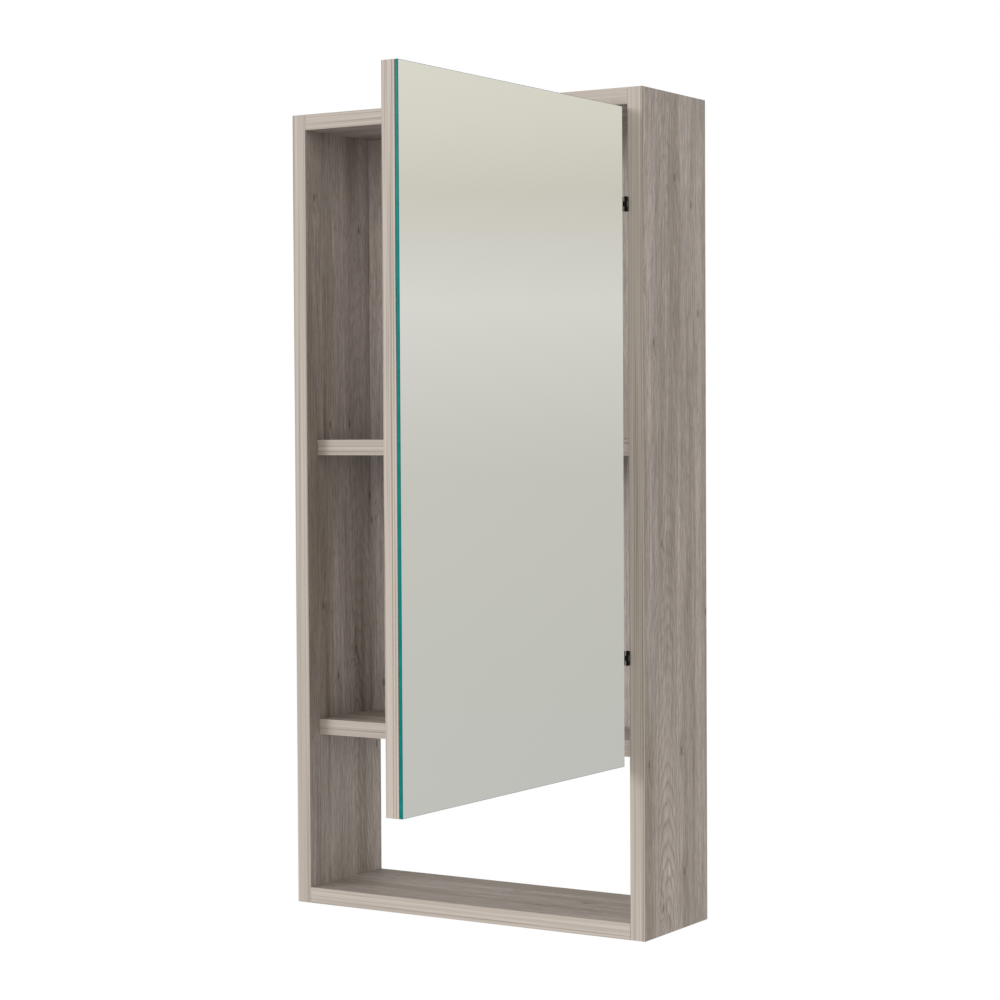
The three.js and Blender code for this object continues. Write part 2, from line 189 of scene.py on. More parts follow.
# How dark the wood is from the start of one growth ring to the start of the next.
RING_PROFILE = [(0.0, 0.8), (0.1, 0.25), (0.35, 0.0), (0.75, 0.3), (0.94, 1.0), (1.0, 0.8)]

# How much the tone varies with each pattern, and how strongly each dark mark is printed, in which
# of the colours.
LIGHT_AND_DARK = {"fibres": 1.6, "flecks": 0.8, "clouds": 0.3}
DARK_MARKS = {
    "latewood": (0.42, "latewood"),
    "pore": (0.45, "pore"),
    "swirl": (0.16, "latewood"),
    "eye": (0.65, "knot"),
}

# The fine lines of the edge band: how wide and how long they are.
BAND_LINE = (1.5 * MM, 420 * MM)


def grain_space(tree, node, lie):
    """Metres from the middle of a node, as across the grain, through the board, along the grain."""
    low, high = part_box(node)
    middle = [(a + b) / 2 for a, b in zip(low, high)]
    place = add(tree, "ShaderNodeTexCoord").outputs["Object"]
    centred = add(tree, "ShaderNodeVectorMath", {0: place, 1: middle}, operation="SUBTRACT")
    axes = add(tree, "ShaderNodeSeparateXYZ", {"Vector": centred.outputs["Vector"]}).outputs
    return [axes[axis] for axis in lie]


def knots(tree, across, along):
    """Two masks round each knot: its dark eye, up to 4 mm wide and 12 mm long, and the swirl of the
    grain round it."""
    spots = add(tree, "ShaderNodeCombineXYZ", {"X": across, "Y": along}).outputs["Vector"]
    cells = add(tree, "ShaderNodeMapping", {
        "Vector": spots, "Scale": (1 / KNOT_SPACING[0], 1 / KNOT_SPACING[1], 1.0)}).outputs["Vector"]
    distance = add(tree, "ShaderNodeTexVoronoi", {"Vector": cells, "Scale": 1.0, "Randomness": 1.0},
                   voronoi_dimensions="2D", feature="F1").outputs["Distance"]
    masks = {}
    for part, (inner, outer) in KNOT_REACH.items():
        masks[part] = add(tree, "ShaderNodeMapRange", {
            "Value": distance, "From Min": inner, "From Max": outer, "To Min": 1.0, "To Max": 0.0},
            interpolation_type="SMOOTHSTEP").outputs["Result"]
    return masks


def shifted(tree, value, marks, amounts):
    """A measure moved by each named mark, as far as that mark's amount where it is strongest."""
    for mark, amount in amounts.items():
        value = add(tree, "ShaderNodeMath", {0: marks[mark], 1: amount, 2: value},
                    operation="MULTIPLY_ADD").outputs["Value"]
    return value


def grain_marks(tree, across, through, along):
    """How strong each pattern of the decor and each part of the knots is, by name."""
    marks = knots(tree, across, along)
    for pattern, (wide, long, detail, roughness) in PATTERNS.items():
        space = add(tree, "ShaderNodeCombineXYZ", {
            "X": across, "Y": through, "Z": along}).outputs["Vector"]
        stretched = add(tree, "ShaderNodeMapping", {
            "Vector": space, "Scale": (1 / (wide * MM), 1 / (wide * MM), 1 / (long * MM))})
        marks[pattern] = add(tree, "ShaderNodeTexNoise", {
            "Vector": stretched.outputs["Vector"], "Scale": 1.0, "Detail": detail,
            "Roughness": roughness}).outputs["Fac"]
        if pattern == "drift":
            across = shifted(tree, across, marks, GRAIN_WANDER)
    return marks


def growth_rings(tree, across, through, along, heart, marks, looks):
    """The dark lines of growth rings round a heart behind the face. The heart leans away upwards,
    so the rings close in pointed arches above it and run straight on both sides. The lines are
    clearest where the heart lies close behind the face, and they come and go."""
    from_heart = add(tree, "ShaderNodeMath", {0: across, 1: heart}, operation="SUBTRACT")
    tilted = add(tree, "ShaderNodeMath", {0: along, 1: looks.lean, 2: through},
                 operation="MULTIPLY_ADD").outputs["Value"]
    depth = add(tree, "ShaderNodeMath", {0: tilted, 1: looks.heart_depth},
                operation="ADD").outputs["Value"]
    section = add(tree, "ShaderNodeCombineXYZ", {"X": from_heart.outputs["Value"], "Y": depth})
    radius = add(tree, "ShaderNodeVectorMath", {0: section.outputs["Vector"]},
                 operation="LENGTH").outputs["Value"]
    phase = add(tree, "ShaderNodeMath", {
        0: shifted(tree, radius, marks, RING_WANDER), 1: looks.ring_spacing}, operation="DIVIDE")
    share = add(tree, "ShaderNodeMath", {0: phase.outputs["Value"]}, operation="FRACT")
    lines = add(tree, "ShaderNodeValToRGB", {"Fac": share.outputs["Value"]},
                stops=RING_PROFILE).outputs["Color"]
    reach = add(tree, "ShaderNodeMapRange", {
        "Value": depth, "From Min": 52 * MM, "From Max": 78 * MM, "To Min": 1.0, "To Max": 0.4})
    patches = add(tree, "ShaderNodeMapRange", {
        "Value": marks["clouds"], "From Min": 0.38, "From Max": 0.6, "To Min": 0.5, "To Max": 1.3})
    for fade in (reach, patches):
        lines = add(tree, "ShaderNodeMath", {0: lines, 1: fade.outputs["Result"]},
                    operation="MULTIPLY").outputs["Value"]
    return lines


def oak_laminate(node, lie, shift, looks, heart=0.0, painted_light_lift=1.0, rim=None):
    """Printed grey oak under a matt melamine face. The eye gets broad lilac and brown streaks, close
    growth rings that arch where the heart runs near the face, broken fibres, pores and small knots,
    and a slight texture that follows the pores. Fibres and pores are drawn 1 to 1.6 mm wide, two
    or three times the real width, so that they show. `shift` picks the part of the decor that the
    board was cut from, `heart` is how far across the board the rings arch, and the lift after it
    makes the whole board lighter or darker. On the left side panel that lift is painted light: it
    brightens the inner face, which lies in shade inside the case. `rim` lays the edge band over
    the colour, on a board that is banded all round."""
    material, tree, shader = new_material(f"oak_laminate_{node}")
    across, through, along = grain_space(tree, node, lie)
    decor = [add(tree, "ShaderNodeMath", {0: measure, 1: move}, operation="ADD").outputs["Value"]
             for measure, move in zip((across, along), shift)]
    marks = grain_marks(tree, decor[0], through, decor[1])
    marks["latewood"] = growth_rings(tree, across, through, along, heart, marks, looks)
    marks["pore"] = add(tree, "ShaderNodeMapRange", {
        "Value": marks["pores"], "From Min": 0.62, "From Max": 0.74}).outputs["Result"]

    tone = add(tree, "ShaderNodeValToRGB", {"Fac": marks["streaks"]}, stops=[
        (0.42, looks.hex("streak_brown")), (0.48, looks.hex("laminate")),
        (0.52, looks.hex("laminate")), (0.58, looks.hex("streak_lilac"))]).outputs["Color"]
    # The lightness starts from the board's lift, which on the left side panel is painted light for its
    # shaded inner face.
    lightness = painted_light_lift
    for pattern, amount in LIGHT_AND_DARK.items():
        spread = add(tree, "ShaderNodeMapRange", {
            "Value": marks[pattern], "To Min": 1 - amount / 2, "To Max": 1 + amount / 2},
            clamp=False).outputs["Result"]
        lightness = add(tree, "ShaderNodeMath", {0: lightness, 1: spread},
                        operation="MULTIPLY").outputs["Value"]
    colour = add(tree, "ShaderNodeMix", {0: 1.0, 6: tone, 7: lightness}, data_type="RGBA",
                 blend_type="MULTIPLY").outputs[2]
    for mark, (amount, shade) in DARK_MARKS.items():
        share = add(tree, "ShaderNodeMath", {0: marks[mark], 1: amount}, operation="MULTIPLY")
        colour = add(tree, "ShaderNodeMix", {
            0: share.outputs["Value"], 6: colour, 7: linear(looks.hex(shade))},
            data_type="RGBA").outputs[2]
    if rim:
        colour = rim(tree, colour)
    tree.links.new(colour, shader.inputs["Base Color"])

    gloss = add(tree, "ShaderNodeMapRange", {
        "Value": marks["streaks"], "To Min": 0.48, "To Max": 0.64}).outputs["Result"]
    tree.links.new(gloss, shader.inputs["Roughness"])
    shader.inputs["Specular IOR Level"].default_value = 0.35
    relief = add(tree, "ShaderNodeMath", {0: marks["fibres"], 1: marks["pore"]},
                 operation="SUBTRACT")
    bump = add(tree, "ShaderNodeBump", {
        "Height": relief.outputs["Value"], "Strength": 0.3, "Distance": 0.06 * MM}).outputs["Normal"]
    tree.links.new(bump, shader.inputs["Normal"])
    return material


def band_print(tree, node, lie, shift, looks, ground="band"):
    """The edge band's print: straight fine lines along it, 1.5 to 3 mm apart, over a pale ground.
    Returns the strength of the lines and their colour."""
    across, through, along = grain_space(tree, node, lie)
    space = add(tree, "ShaderNodeCombineXYZ", {
        "X": across, "Y": through, "Z": along}).outputs["Vector"]
    wide, long = BAND_LINE
    stretched = add(tree, "ShaderNodeMapping", {
        "Vector": space, "Location": (shift, 0.0, shift), "Scale": (1 / wide, 1 / wide, 1 / long)})
    lines = add(tree, "ShaderNodeTexNoise", {
        "Vector": stretched.outputs["Vector"], "Scale": 1.0, "Detail": 3.0,
        "Roughness": 0.6}).outputs["Fac"]
    colour = add(tree, "ShaderNodeValToRGB", {"Fac": lines}, stops=[
        (0.37, looks.hex("band_line")), (0.45, looks.hex(ground)), (0.55, looks.hex(ground)),
        (0.62, looks.hex("band_light"))]).outputs["Color"]
    return lines, colour


def edge_band(node, lie, shift, looks):
    """Pale printed edge band, ironed on and scraped flush: straight close lines, almost no relief."""
    material, tree, shader = new_material(f"edge_band_{node}")
    lines, colour = band_print(tree, node, lie, shift, looks)
    tree.links.new(colour, shader.inputs["Base Color"])
    gloss = add(tree, "ShaderNodeMapRange", {
        "Value": lines, "To Min": 0.45, "To Max": 0.6}).outputs["Result"]
    tree.links.new(gloss, shader.inputs["Roughness"])
    shader.inputs["Specular IOR Level"].default_value = 0.35
    bump = add(tree, "ShaderNodeBump", {
        "Height": lines, "Strength": 0.25, "Distance": 0.05 * MM}).outputs["Normal"]
    tree.links.new(bump, shader.inputs["Normal"])
    return material


def near_rim(tree, node, width):
    """1 within `width` of the edges of an upright sheet, in Y and Z, and 0 elsewhere."""
    low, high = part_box(node)
    place = add(tree, "ShaderNodeSeparateXYZ", {
        "Vector": add(tree, "ShaderNodeTexCoord").outputs["Object"]})
    inside = None
    for i, axis in ((1, "Y"), (2, "Z")):
        middle = add(tree, "ShaderNodeMath", {
            0: place.outputs[axis], 1: (low[i] + high[i]) / 2}, operation="SUBTRACT").outputs["Value"]
        off = add(tree, "ShaderNodeMath", {0: middle}, operation="ABSOLUTE").outputs["Value"]
        past = add(tree, "ShaderNodeMath", {
            0: off, 1: (high[i] - low[i]) / 2 - width}, operation="GREATER_THAN").outputs["Value"]
        inside = past if inside is None else add(tree, "ShaderNodeMath", {
            0: inside, 1: past}, operation="MAXIMUM").outputs["Value"]
    return inside


def silvered_glass(looks):
    """3.2 mm float glass with a silver coat behind it: a true mirror, faintly green, whose ground
    edges show the deep blue-green of light that has run through the sheet."""
    material, tree, shader = new_material("silvered_float_glass")
    place = add(tree, "ShaderNodeTexCoord").outputs["Object"]
    edge = near_rim(tree, "door_mirror", looks.glass_rim)
    shade = add(tree, "ShaderNodeTexNoise", {"Vector": place, "Scale": 90.0, "Detail": 2.0})
    green = add(tree, "ShaderNodeValToRGB", {"Fac": shade.outputs["Fac"]}, stops=[
        (0.3, looks.hex("glass_edge_deep")), (0.7, looks.hex("glass_edge"))]).outputs["Color"]
    colour = add(tree, "ShaderNodeMix", {0: edge, 6: linear(looks.hex("silver")), 7: green},
                 data_type="RGBA").outputs[2]
    metal = add(tree, "ShaderNodeMath", {0: 1.0, 1: edge}, operation="SUBTRACT").outputs["Value"]
    film = add(tree, "ShaderNodeTexNoise", {"Vector": place, "Scale": 14.0, "Detail": 4.0})
    polish = add(tree, "ShaderNodeMapRange", {
        "Value": film.outputs["Fac"], "From Min": 0.45, "From Max": 0.8, "To Min": 0.0,
        "To Max": 0.025}).outputs["Result"]
    ground = add(tree, "ShaderNodeMath", {0: edge, 1: 0.22, 2: polish},
                 operation="MULTIPLY_ADD").outputs["Value"]
    tree.links.new(colour, shader.inputs["Base Color"])
    tree.links.new(metal, shader.inputs["Metallic"])
    tree.links.new(ground, shader.inputs["Roughness"])
    shader.inputs["Specular IOR Level"].default_value = 0.04
    return material


def black_steel(looks):
    """Electro-coated black steel: satin, with a fine orange peel and specks a little lighter."""
    material, tree, shader = new_material("black_coated_steel")
    place = add(tree, "ShaderNodeTexCoord").outputs["Object"]
    peel = add(tree, "ShaderNodeTexNoise", {"Vector": place, "Scale": 1 / (0.6 * MM), "Detail": 3.0})
    tone = add(tree, "ShaderNodeValToRGB", {"Fac": peel.outputs["Fac"]}, stops=[
        (0.35, looks.hex("black")), (0.75, looks.hex("black_rubbed"))]).outputs["Color"]
    gloss = add(tree, "ShaderNodeMapRange", {
        "Value": peel.outputs["Fac"], "To Min": 0.3, "To Max": 0.46}).outputs["Result"]
    bump = add(tree, "ShaderNodeBump", {
        "Height": peel.outputs["Fac"], "Strength": 0.2, "Distance": 0.02 * MM}).outputs["Normal"]
    tree.links.new(tone, shader.inputs["Base Color"])
    tree.links.new(gloss, shader.inputs["Roughness"])
    tree.links.new(bump, shader.inputs["Normal"])
    shader.inputs["Specular IOR Level"].default_value = 0.06
    return material


def zinc_plate(looks):
    """Bright zinc-plated steel: silver with a faint blue cast and small spangle-like clouds."""
    material, tree, shader = new_material("zinc_plated_steel")
    place = add(tree, "ShaderNodeTexCoord").outputs["Object"]
    cloud = add(tree, "ShaderNodeTexNoise", {"Vector": place, "Scale": 1 / (3 * MM), "Detail": 4.0})
    tone = add(tree, "ShaderNodeValToRGB", {"Fac": cloud.outputs["Fac"]}, stops=[
        (0.3, looks.hex("zinc_shade")), (0.55, looks.hex("zinc")),
        (0.75, looks.hex("zinc_light"))]).outputs["Color"]
    gloss = add(tree, "ShaderNodeMapRange", {
        "Value": cloud.outputs["Fac"], "To Min": 0.22, "To Max": 0.42}).outputs["Result"]
    tree.links.new(tone, shader.inputs["Base Color"])
    tree.links.new(gloss, shader.inputs["Roughness"])
    shader.inputs["Metallic"].default_value = 1.0
    return material


def mottled(name, size, dark, light, roughness, metallic=0.0):
    """A plain finish with a fine mottle of patches about `size` mm wide."""
    material, tree, shader = new_material(name)
    place = add(tree, "ShaderNodeTexCoord").outputs["Object"]
    mottle = add(tree, "ShaderNodeTexNoise", {
        "Vector": place, "Scale": 1 / (size * MM), "Detail": 4.0})
    tone = add(tree, "ShaderNodeValToRGB", {"Fac": mottle.outputs["Fac"]}, stops=[
        (0.3, dark), (0.7, light)]).outputs["Color"]
    gloss = add(tree, "ShaderNodeMapRange", {
        "Value": mottle.outputs["Fac"], "To Min": roughness - 0.06, "To Max": roughness + 0.06})
    tree.links.new(tone, shader.inputs["Base Color"])
    tree.links.new(gloss.outputs["Result"], shader.inputs["Roughness"])
    shader.inputs["Metallic"].default_value = metallic
    return material


# ---- settings -------------------------------------------------------------------------------
def swatch(name, description, default):
    return StringProperty(name=name, description=description, default=default)


class CabinetLooks(bpy.types.PropertyGroup):
    """Colours, as sRGB hex codes, and the sizes of the broken edges and of the growth rings."""
    laminate: swatch("Laminate", "Middle tone of the grey oak", "#9b9490")
    streak_brown: swatch("Brown streak", "Warmer, greener streaks", "#908882")
    streak_lilac: swatch("Lilac streak", "Cooler streaks", "#a69e9c")
    latewood: swatch("Latewood", "Dark lines of the figure", "#6f665e")
    pore: swatch("Pore", "Short dark pores", "#6f665c")
    knot: swatch("Knot", "Eyes of the knots", "#4f463d")
    band: swatch("Band", "Ground of the edge band", "#9a928c")
    door_band: swatch("Door band", "Ground of the edge band round the door", "#a29a94")
    band_line: swatch("Band line", "Dark lines of the edge band", "#80776f")
    band_light: swatch("Band light", "Light lines of the edge band", "#a79f9a")
    silver: swatch("Silver", "Tint of the mirror", "#f1f3f1")
    glass_edge: swatch("Glass edge", "Edge of the mirror glass", "#04706f")
    glass_edge_deep: swatch("Deep glass edge", "Darker parts of that edge", "#036463")
    black: swatch("Black", "Coat of the hinges", "#050404")
    black_rubbed: swatch("Rubbed black", "Lighter specks of that coat", "#100e0c")
    zinc: swatch("Zinc", "Plating of the catch and the hanging plates", "#bfc3c6")
    zinc_shade: swatch("Dark zinc", "Darker clouds of that plating", "#a9aeb4")
    zinc_light: swatch("Light zinc", "Lighter clouds of that plating", "#d2d4d2")
    abs: swatch("White plastic", "Sleeve of the catch", "#ecebe7")
    abs_shade: swatch("Plastic shade", "Darker mottle of that sleeve", "#e2e1dc")
    nickel: swatch("Nickel", "Plating of the magnet", "#b5b7b8")
    nickel_shade: swatch("Dark nickel", "Darker mottle of that plating", "#8d9094")
    beech: swatch("Beech", "Dowels", "#dcbc8d")
    beech_shade: swatch("Dark beech", "Darker grain of the dowels", "#c39c68")
    film: swatch("Mounting film", "Foam film behind the mirror", "#ecece8")
    film_shade: swatch("Film shade", "Darker cells of that film", "#d9d9d4")
    board_edge: FloatProperty(
        name="Board edge", description="How far the edges of the boards are broken",
        default=0.2 * MM, min=0.0, max=1 * MM, unit="LENGTH")
    band_edge: FloatProperty(
        name="Band edge", description="How far the scraped edges of the edge band are rounded",
        default=0.3 * MM, min=0.0, max=0.45 * MM, unit="LENGTH")
    band_thickness: FloatProperty(
        name="Band thickness", description="Thickness of the edge band round the door",
        default=1.0 * MM, min=0.0, max=3 * MM, unit="LENGTH")
    glass_arris: FloatProperty(
        name="Glass arris", description="Width of the small flats ground along the mirror's edges",
        default=0.35 * MM, min=0.0, max=1 * MM, unit="LENGTH")
    glass_rim: FloatProperty(
        name="Glass rim", description="How far the blue-green of the ground edges reaches inwards",
        default=0.45 * MM, min=0.0, max=2 * MM, unit="LENGTH")
    hinge_edge: FloatProperty(
        name="Hinge edge", description="How far the edges of the leaves, knuckles and pins are broken",
        default=0.18 * MM, min=0.0, max=0.3 * MM, unit="LENGTH")
    catch_edge: FloatProperty(
        name="Catch edge", description="Rounding of the catch's sleeve and of its strike plate",
        default=0.3 * MM, min=0.0, max=0.5 * MM, unit="LENGTH")
    magnet_edge: FloatProperty(
        name="Magnet edge", description="Rounding of the magnet in the catch",
        default=0.25 * MM, min=0.0, max=0.5 * MM, unit="LENGTH")
    plate_edge: FloatProperty(
        name="Plate edge", description="Rounding of the stamped hanging plates",
        default=0.35 * MM, min=0.0, max=0.6 * MM, unit="LENGTH")
    dowel_edge: FloatProperty(
        name="Dowel edge", description="Chamfer on the ends of the dowels",
        default=0.4 * MM, min=0.0, max=2 * MM, unit="LENGTH")
    ring_spacing: FloatProperty(
        name="Ring spacing", description="Distance between the dark lines of the figure",
        default=1.5 * MM, min=0.5 * MM, max=20 * MM, unit="LENGTH")
    heart_depth: FloatProperty(
        name="Heart depth", description="Depth of the heart of the log behind the face, halfway up",
        default=60 * MM, min=0.0, max=200 * MM, unit="LENGTH")
    lean: FloatProperty(
        name="Lean", description="How much deeper the heart lies for each metre along the board",
        default=0.085, min=0.0, max=1.0)

    def hex(self, name):
        return getattr(self, name)


class CabinetStage(bpy.types.PropertyGroup):
    """The camera, the lamp, the room's light and how high the cabinet hangs."""
    lens: FloatProperty(name="Lens", description="Focal length in millimetres", default=90.8)
    camera_place: FloatVectorProperty(
        name="Camera", description="Where the camera stands", default=(1.2633, -2.0869, -0.0006),
        unit="LENGTH")
    azimuth: FloatProperty(
        name="Azimuth", description="Direction from the cabinet's front, to the right",
        default=math.radians(31.86), subtype="ANGLE")
    elevation: FloatProperty(
        name="Elevation", description="How far the camera looks down",
        default=math.radians(1.68), subtype="ANGLE")
    roll: FloatProperty(
        name="Roll", description="How far the camera leans to its right",
        default=math.radians(0.305), subtype="ANGLE")
    key_strength: FloatProperty(
        name="Key strength", description="Strength of the softbox", default=1.45, min=0.0)
    key_spread: FloatProperty(
        name="Key spread", description="How wide the softbox looks from the cabinet",
        default=math.radians(22), subtype="ANGLE")
    key_azimuth: FloatProperty(
        name="Key azimuth", description="Direction of the softbox from the front, to the left",
        default=math.radians(38), subtype="ANGLE")
    key_elevation: FloatProperty(
        name="Key elevation", description="Height of the softbox", default=math.radians(14),
        subtype="ANGLE")
    fill_towards: FloatVectorProperty(
        name="Fill right, back, top", description="Fill light from the right, the back and above",
        default=(0.85, 0.66, 0.5))
    fill_away: FloatVectorProperty(
        name="Fill left, front, floor", description="Fill light from the left, the front and below",
        default=(0.4, 1.94, 0.2))
    drop: FloatProperty(
        name="Drop", description="Height of the cabinet above the floor", default=1.2, unit="LENGTH")


# ---- pieces ---------------------------------------------------------------------------------
BOARDS = {
    # name: how the grain lies, which part of the decor, how far across the rings arch, lift of the
    # colour
    # The left side panel's lift of 1.06 is painted light: it brightens the inner face, which lies in
    # shade inside the case.
    "side_panel_left": (UPRIGHT_SIDE, (0.31, 0.12), 0.021, 1.06),
    "side_panel_right": (UPRIGHT_SIDE, (0.05, 1.94), -0.018, 1.0),
    "top_panel": (LEVEL, (0.63, 3.3), 0.02, 1.0),
    "bottom_panel": (LEVEL, (0.92, 4.7), 0.05, 1.0),
    "lower_shelf": (LEVEL, (1.27, 5.9), 0.04, 1.0),
    "middle_shelf": (LEVEL, (1.55, 7.1), 0.02, 1.0),
    "back_panel": (UPRIGHT_BACK, (1.81, 8.4), 0.06, 1.0),
}


class CABINET_OT_boards(bpy.types.Operator):
    """Covers the seven case boards in grey oak laminate"""
    bl_idname = "cabinet.boards"
    bl_label = "Case boards"

    def execute(self, context):
        looks = context.scene.cabinet_looks
        for board, (lie, shift, heart, painted_light_lift) in BOARDS.items():
            soften(board, looks.board_edge)
            dress(board, oak_laminate(board, lie, shift, looks, heart, painted_light_lift))
        return {"FINISHED"}


BANDED = {
    # board: how the band's lines run, and which part of the decor
    "side_panel_left": (UPRIGHT_BACK, 0.11),
    "side_panel_right": (UPRIGHT_BACK, 1.37),
    "top_panel": (LEVEL, 2.52),
    "bottom_panel": (LEVEL, 3.74),
    "lower_shelf": (LEVEL, 4.83),
    "middle_shelf": (LEVEL, 5.97),
}


class CABINET_OT_bands(bpy.types.Operator):
    """Covers the front edges of the case boards in pale edge band"""
    bl_idname = "cabinet.bands"
    bl_label = "Edge bands"

    def execute(self, context):
        looks = context.scene.cabinet_looks
        for board, (lie, shift) in BANDED.items():
            band = f"{board}_edge_band"
            soften(band, looks.band_edge)
            dress(band, edge_band(band, lie, shift, looks))
        return {"FINISHED"}


class CABINET_OT_door(bpy.types.Operator):
    """Covers the door board in laminate, with edge band round its four edges"""
    bl_idname = "cabinet.door"
    bl_label = "Door board"

    def execute(self, context):
        looks = context.scene.cabinet_looks

        def rim(tree, colour):
            pale = band_print(tree, "door_board", UPRIGHT_SIDE, 6.4, looks, "door_band")[1]
            edge = near_rim(tree, "door_board", looks.band_thickness)
            return add(tree, "ShaderNodeMix", {0: edge, 6: colour, 7: pale},
                       data_type="RGBA").outputs[2]

        soften("door_board", looks.board_edge)
        soften("mirror_mounting_film", FILM_EDGE)
        dress("door_board", oak_laminate(
            "door_board", UPRIGHT_SIDE, (2.2, 9.6), looks, heart=0.05, rim=rim))
        dress("mirror_mounting_film", mottled(
            "polyethylene_foam_film", 2.0, looks.hex("film_shade"), looks.hex("film"), 0.7))
        return {"FINISHED"}


class CABINET_OT_mirror(bpy.types.Operator):
    """Makes the door's glass a silvered mirror with blue-green ground edges"""
    bl_idname = "cabinet.mirror"
    bl_label = "Mirror"

    def execute(self, context):
        looks = context.scene.cabinet_looks
        soften("door_mirror", looks.glass_arris)
        dress("door_mirror", silvered_glass(looks))
        # The glass shows only the room: what stands beside the hinge is kept out of it.
        for node, piece in pieces.items():
            if node.startswith(("side_panel_right", "hinge_")) or "_right_" in node:
                piece.visible_glossy = False
        return {"FINISHED"}


class CABINET_OT_hinges(bpy.types.Operator):
    """Makes the two black barrel hinges: their leaves, pins and screws"""
    bl_idname = "cabinet.hinges"
    bl_label = "Hinges"

    def execute(self, context):
        looks = context.scene.cabinet_looks
        black = black_steel(looks)
        for node in nodes_named("hinge_"):
            width = SCREW_EDGE if "screw" in node else looks.hinge_edge
            soften(node, width, segments=3)
            dress(node, black)
        return {"FINISHED"}


class CABINET_OT_catch(bpy.types.Operator):
    """Makes the magnetic catch in the middle shelf and its strike plate on the door"""
    bl_idname = "cabinet.catch"
    bl_label = "Magnetic catch"

    def execute(self, context):
        looks = context.scene.cabinet_looks
        soften("catch_sleeve", looks.catch_edge, segments=3)
        dress("catch_sleeve", mottled(
            "moulded_white_abs", 0.5, looks.hex("abs_shade"), looks.hex("abs"), 0.42))
        soften("catch_magnet", looks.magnet_edge, segments=3)
        dress("catch_magnet", mottled(
            "nickel_plated_magnet", 2.0, looks.hex("nickel_shade"), looks.hex("nickel"), 0.3, 1.0))
        zinc = zinc_plate(looks)
        for node, width in (("strike_plate", looks.catch_edge), ("strike_screw", SCREW_EDGE)):
            soften(node, width, segments=3)
            dress(node, zinc)
        return {"FINISHED"}


class CABINET_OT_hangers(bpy.types.Operator):
    """Makes the two keyhole plates on the rear and their screws"""
    bl_idname = "cabinet.hangers"
    bl_label = "Hanging plates"

    def execute(self, context):
        looks = context.scene.cabinet_looks
        zinc = zinc_plate(looks)
        for node in nodes_named("hanger_"):
            width = SCREW_EDGE if "screw" in node else looks.plate_edge
            soften(node, width, segments=3)
            dress(node, zinc)
        return {"FINISHED"}


class CABINET_OT_dowels(bpy.types.Operator):
    """Makes the twenty beech dowels inside the joints"""
    bl_idname = "cabinet.dowels"
    bl_label = "Dowels"

    def execute(self, context):
        looks = context.scene.cabinet_looks
        beech = mottled("turned_beech", 1.5, looks.hex("beech_shade"), looks.hex("beech"), 0.7)
        for node in nodes_named("dowel_"):
            soften(node, looks.dowel_edge)
            dress(node, beech)
        return {"FINISHED"}


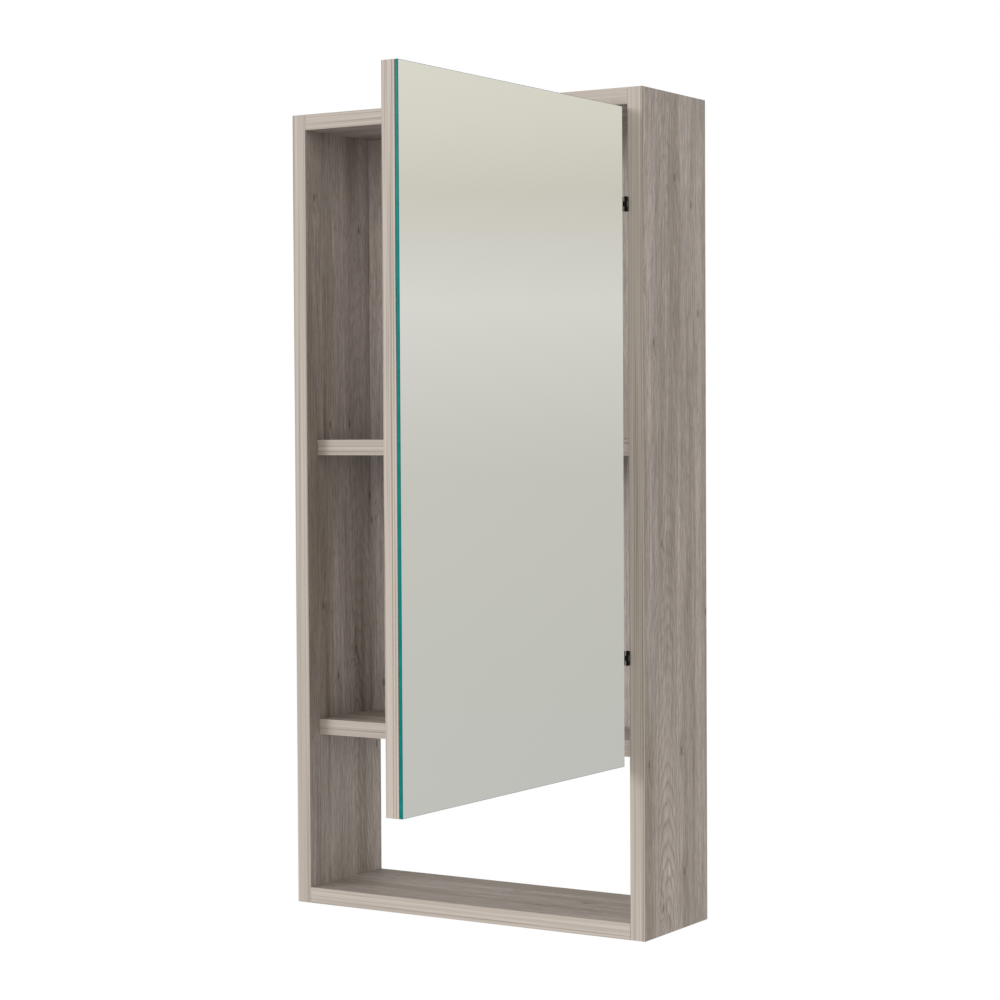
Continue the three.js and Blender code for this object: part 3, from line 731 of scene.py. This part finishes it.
class CABINET_OT_stage(bpy.types.Operator):
    """Sets the camera, the softbox, the room light and the pale floor"""
    bl_idname = "cabinet.stage"
    bl_label = "Stage"

    def execute(self, context):
        stage = context.scene.cabinet_stage
        self.camera(context, stage)
        self.softbox(context, stage)
        self.room(context, stage)
        self.floor(stage)
        context.scene.view_settings.view_transform = "Standard"
        return {"FINISHED"}

    @staticmethod
    def camera(context, stage):
        az, el, roll = stage.azimuth, stage.elevation, stage.roll
        ahead = Vector((-math.sin(az) * math.cos(el), math.cos(az) * math.cos(el), -math.sin(el)))
        side = Vector((math.cos(az), math.sin(az), 0.0))
        up = side.cross(ahead)
        right = side * math.cos(roll) - up * math.sin(roll)
        up = side * math.sin(roll) + up * math.cos(roll)
        data = bpy.data.cameras.new("camera")
        data.lens = stage.lens
        data.sensor_width = 36.0
        camera = bpy.data.objects.new("camera", data)
        turn = Matrix((right, up, -ahead)).transposed().to_4x4()
        camera.matrix_world = Matrix.Translation(stage.camera_place) @ turn
        context.collection.objects.link(camera)
        context.scene.camera = camera

    @staticmethod
    def softbox(context, stage):
        """One large soft lamp far off on the left, a little above the cabinet."""
        lamp = bpy.data.lights.new("softbox", "SUN")
        lamp.energy = stage.key_strength
        lamp.angle = stage.key_spread
        softbox = bpy.data.objects.new("softbox", lamp)
        az, el = stage.key_azimuth, stage.key_elevation
        place = Vector((-math.sin(az) * math.cos(el), -math.cos(az) * math.cos(el), math.sin(el)))
        softbox.location = place
        softbox.rotation_euler = place.to_track_quat("Z", "Y").to_euler()
        context.collection.objects.link(softbox)

    @staticmethod
    def room(context, stage):
        """White all round for the eye. The light and the reflections come from a soft cream and grey
        room, whose brightness differs from each of the six sides."""
        world = bpy.data.worlds.new("room")
        context.scene.world = world
        world.use_nodes = True
        tree = world.node_tree
        tree.nodes.clear()
        way = add(tree, "ShaderNodeTexCoord").outputs["Generated"]
        strength = None
        for turn, weights in ((1.0, stage.fill_towards), (-1.0, stage.fill_away)):
            facing = add(tree, "ShaderNodeVectorMath", {0: way, 3: turn}, operation="SCALE")
            lobes = add(tree, "ShaderNodeVectorMath", {
                0: facing.outputs["Vector"], 1: (0.0, 0.0, 0.0)}, operation="MAXIMUM")
            part = add(tree, "ShaderNodeVectorMath", {
                0: lobes.outputs["Vector"], 1: weights}, operation="DOT_PRODUCT").outputs["Value"]
            strength = part if strength is None else add(
                tree, "ShaderNodeMath", {0: strength, 1: part}, operation="ADD").outputs["Value"]
        height = add(tree, "ShaderNodeSeparateXYZ", {"Vector": way}).outputs["Z"]
        level = add(tree, "ShaderNodeMapRange", {
            "Value": height, "From Min": -0.2, "From Max": 0.2}).outputs["Result"]
        tone = add(tree, "ShaderNodeValToRGB", {"Fac": level}, stops=[
            (0.0, "#c6c5c4"), (0.25, "#c8c7c0"), (0.45, "#cdcbc4"), (0.62, "#dddbd5"),
            (0.73, "#d0cbc1"), (0.8, "#dad5ca"), (1.0, "#e4e0d7")]).outputs["Color"]
        white = add(tree, "ShaderNodeBackground", {"Color": (1, 1, 1, 1), "Strength": 1.0})
        soft = add(tree, "ShaderNodeBackground", {"Color": tone, "Strength": strength})
        mix = add(tree, "ShaderNodeMixShader", {
            0: add(tree, "ShaderNodeLightPath").outputs["Is Camera Ray"],
            1: soft.outputs["Background"], 2: white.outputs["Background"]})
        add(tree, "ShaderNodeOutputWorld", {"Surface": mix.outputs["Shader"]})

    @staticmethod
    def floor(stage):
        mesh = bpy.data.meshes.new("floor")
        shape = bmesh.new()
        bmesh.ops.create_grid(shape, x_segments=1, y_segments=1, size=2.5)
        bmesh.ops.translate(shape, vec=(0, 0, CASE_BOTTOM - stage.drop), verts=shape.verts)
        shape.to_mesh(mesh)
        shape.free()
        obj = bpy.data.objects.new("floor", mesh)
        bpy.context.collection.objects.link(obj)
        mesh.materials.append(mottled("pale_floor", 40.0, "#e4e4e2", "#eaeae8", 0.7))


# ---- panel and registration -----------------------------------------------------------------
STEPS = (
    CABINET_OT_stage, CABINET_OT_boards, CABINET_OT_bands, CABINET_OT_dowels, CABINET_OT_door,
    CABINET_OT_hinges, CABINET_OT_catch, CABINET_OT_hangers, CABINET_OT_mirror,
)


class CABINET_PT_panel(bpy.types.Panel):
    """Lists the steps in the sidebar"""
    bl_idname = "CABINET_PT_panel"
    bl_label = "Medicine Cabinet"
    bl_space_type = "VIEW_3D"
    bl_region_type = "UI"
    bl_category = "Cabinet"

    def draw(self, context):
        for step in STEPS:
            self.layout.operator(step.bl_idname)


CLASSES = (CabinetLooks, CabinetStage, *STEPS, CABINET_PT_panel)


def register():
    for cls in CLASSES:
        bpy.utils.register_class(cls)
    bpy.types.Scene.cabinet_looks = PointerProperty(type=CabinetLooks)
    bpy.types.Scene.cabinet_stage = PointerProperty(type=CabinetStage)


def unregister():
    del bpy.types.Scene.cabinet_stage
    del bpy.types.Scene.cabinet_looks
    for cls in reversed(CLASSES):
        bpy.utils.unregister_class(cls)


def main():
    register()
    for step in STEPS:
        group, name = step.bl_idname.split(".")
        getattr(getattr(bpy.ops, group), name)()


if __name__ == "__main__":
    main()
